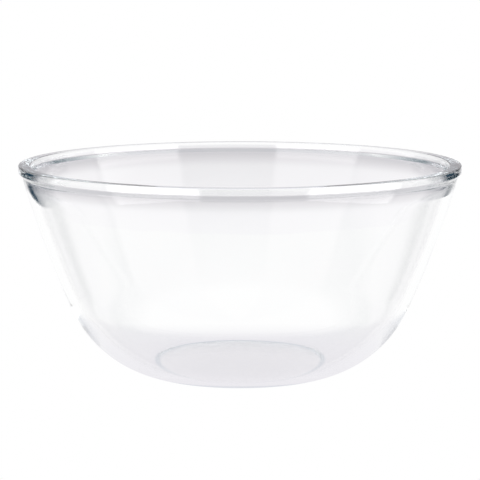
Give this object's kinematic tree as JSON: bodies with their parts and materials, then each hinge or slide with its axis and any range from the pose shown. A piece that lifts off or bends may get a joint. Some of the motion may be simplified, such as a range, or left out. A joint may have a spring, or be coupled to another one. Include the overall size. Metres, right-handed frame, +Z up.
{
  "type": "mixing bowl",
  "caption": "Round clear-glass mixing bowl with a curved leaning wall, a rounded heel, a flat floor and a narrow standing band round its rim.",
  "frame": {"origin": "centre of the foot ring, on the surface that the bowl stands on", "axes": "+Z up along the bowl's axis of revolution; X and Y are any two level directions"},
  "size_m": [0.24, 0.24, 0.115],
  "materials": {
    "pressed_glass": "clear, colourless, fire-polished pressed glass, smooth and glossy all over"
  },
  "bodies": {
    "root": {"bowl": "pressed_glass"}
  },
  "joints": []
}
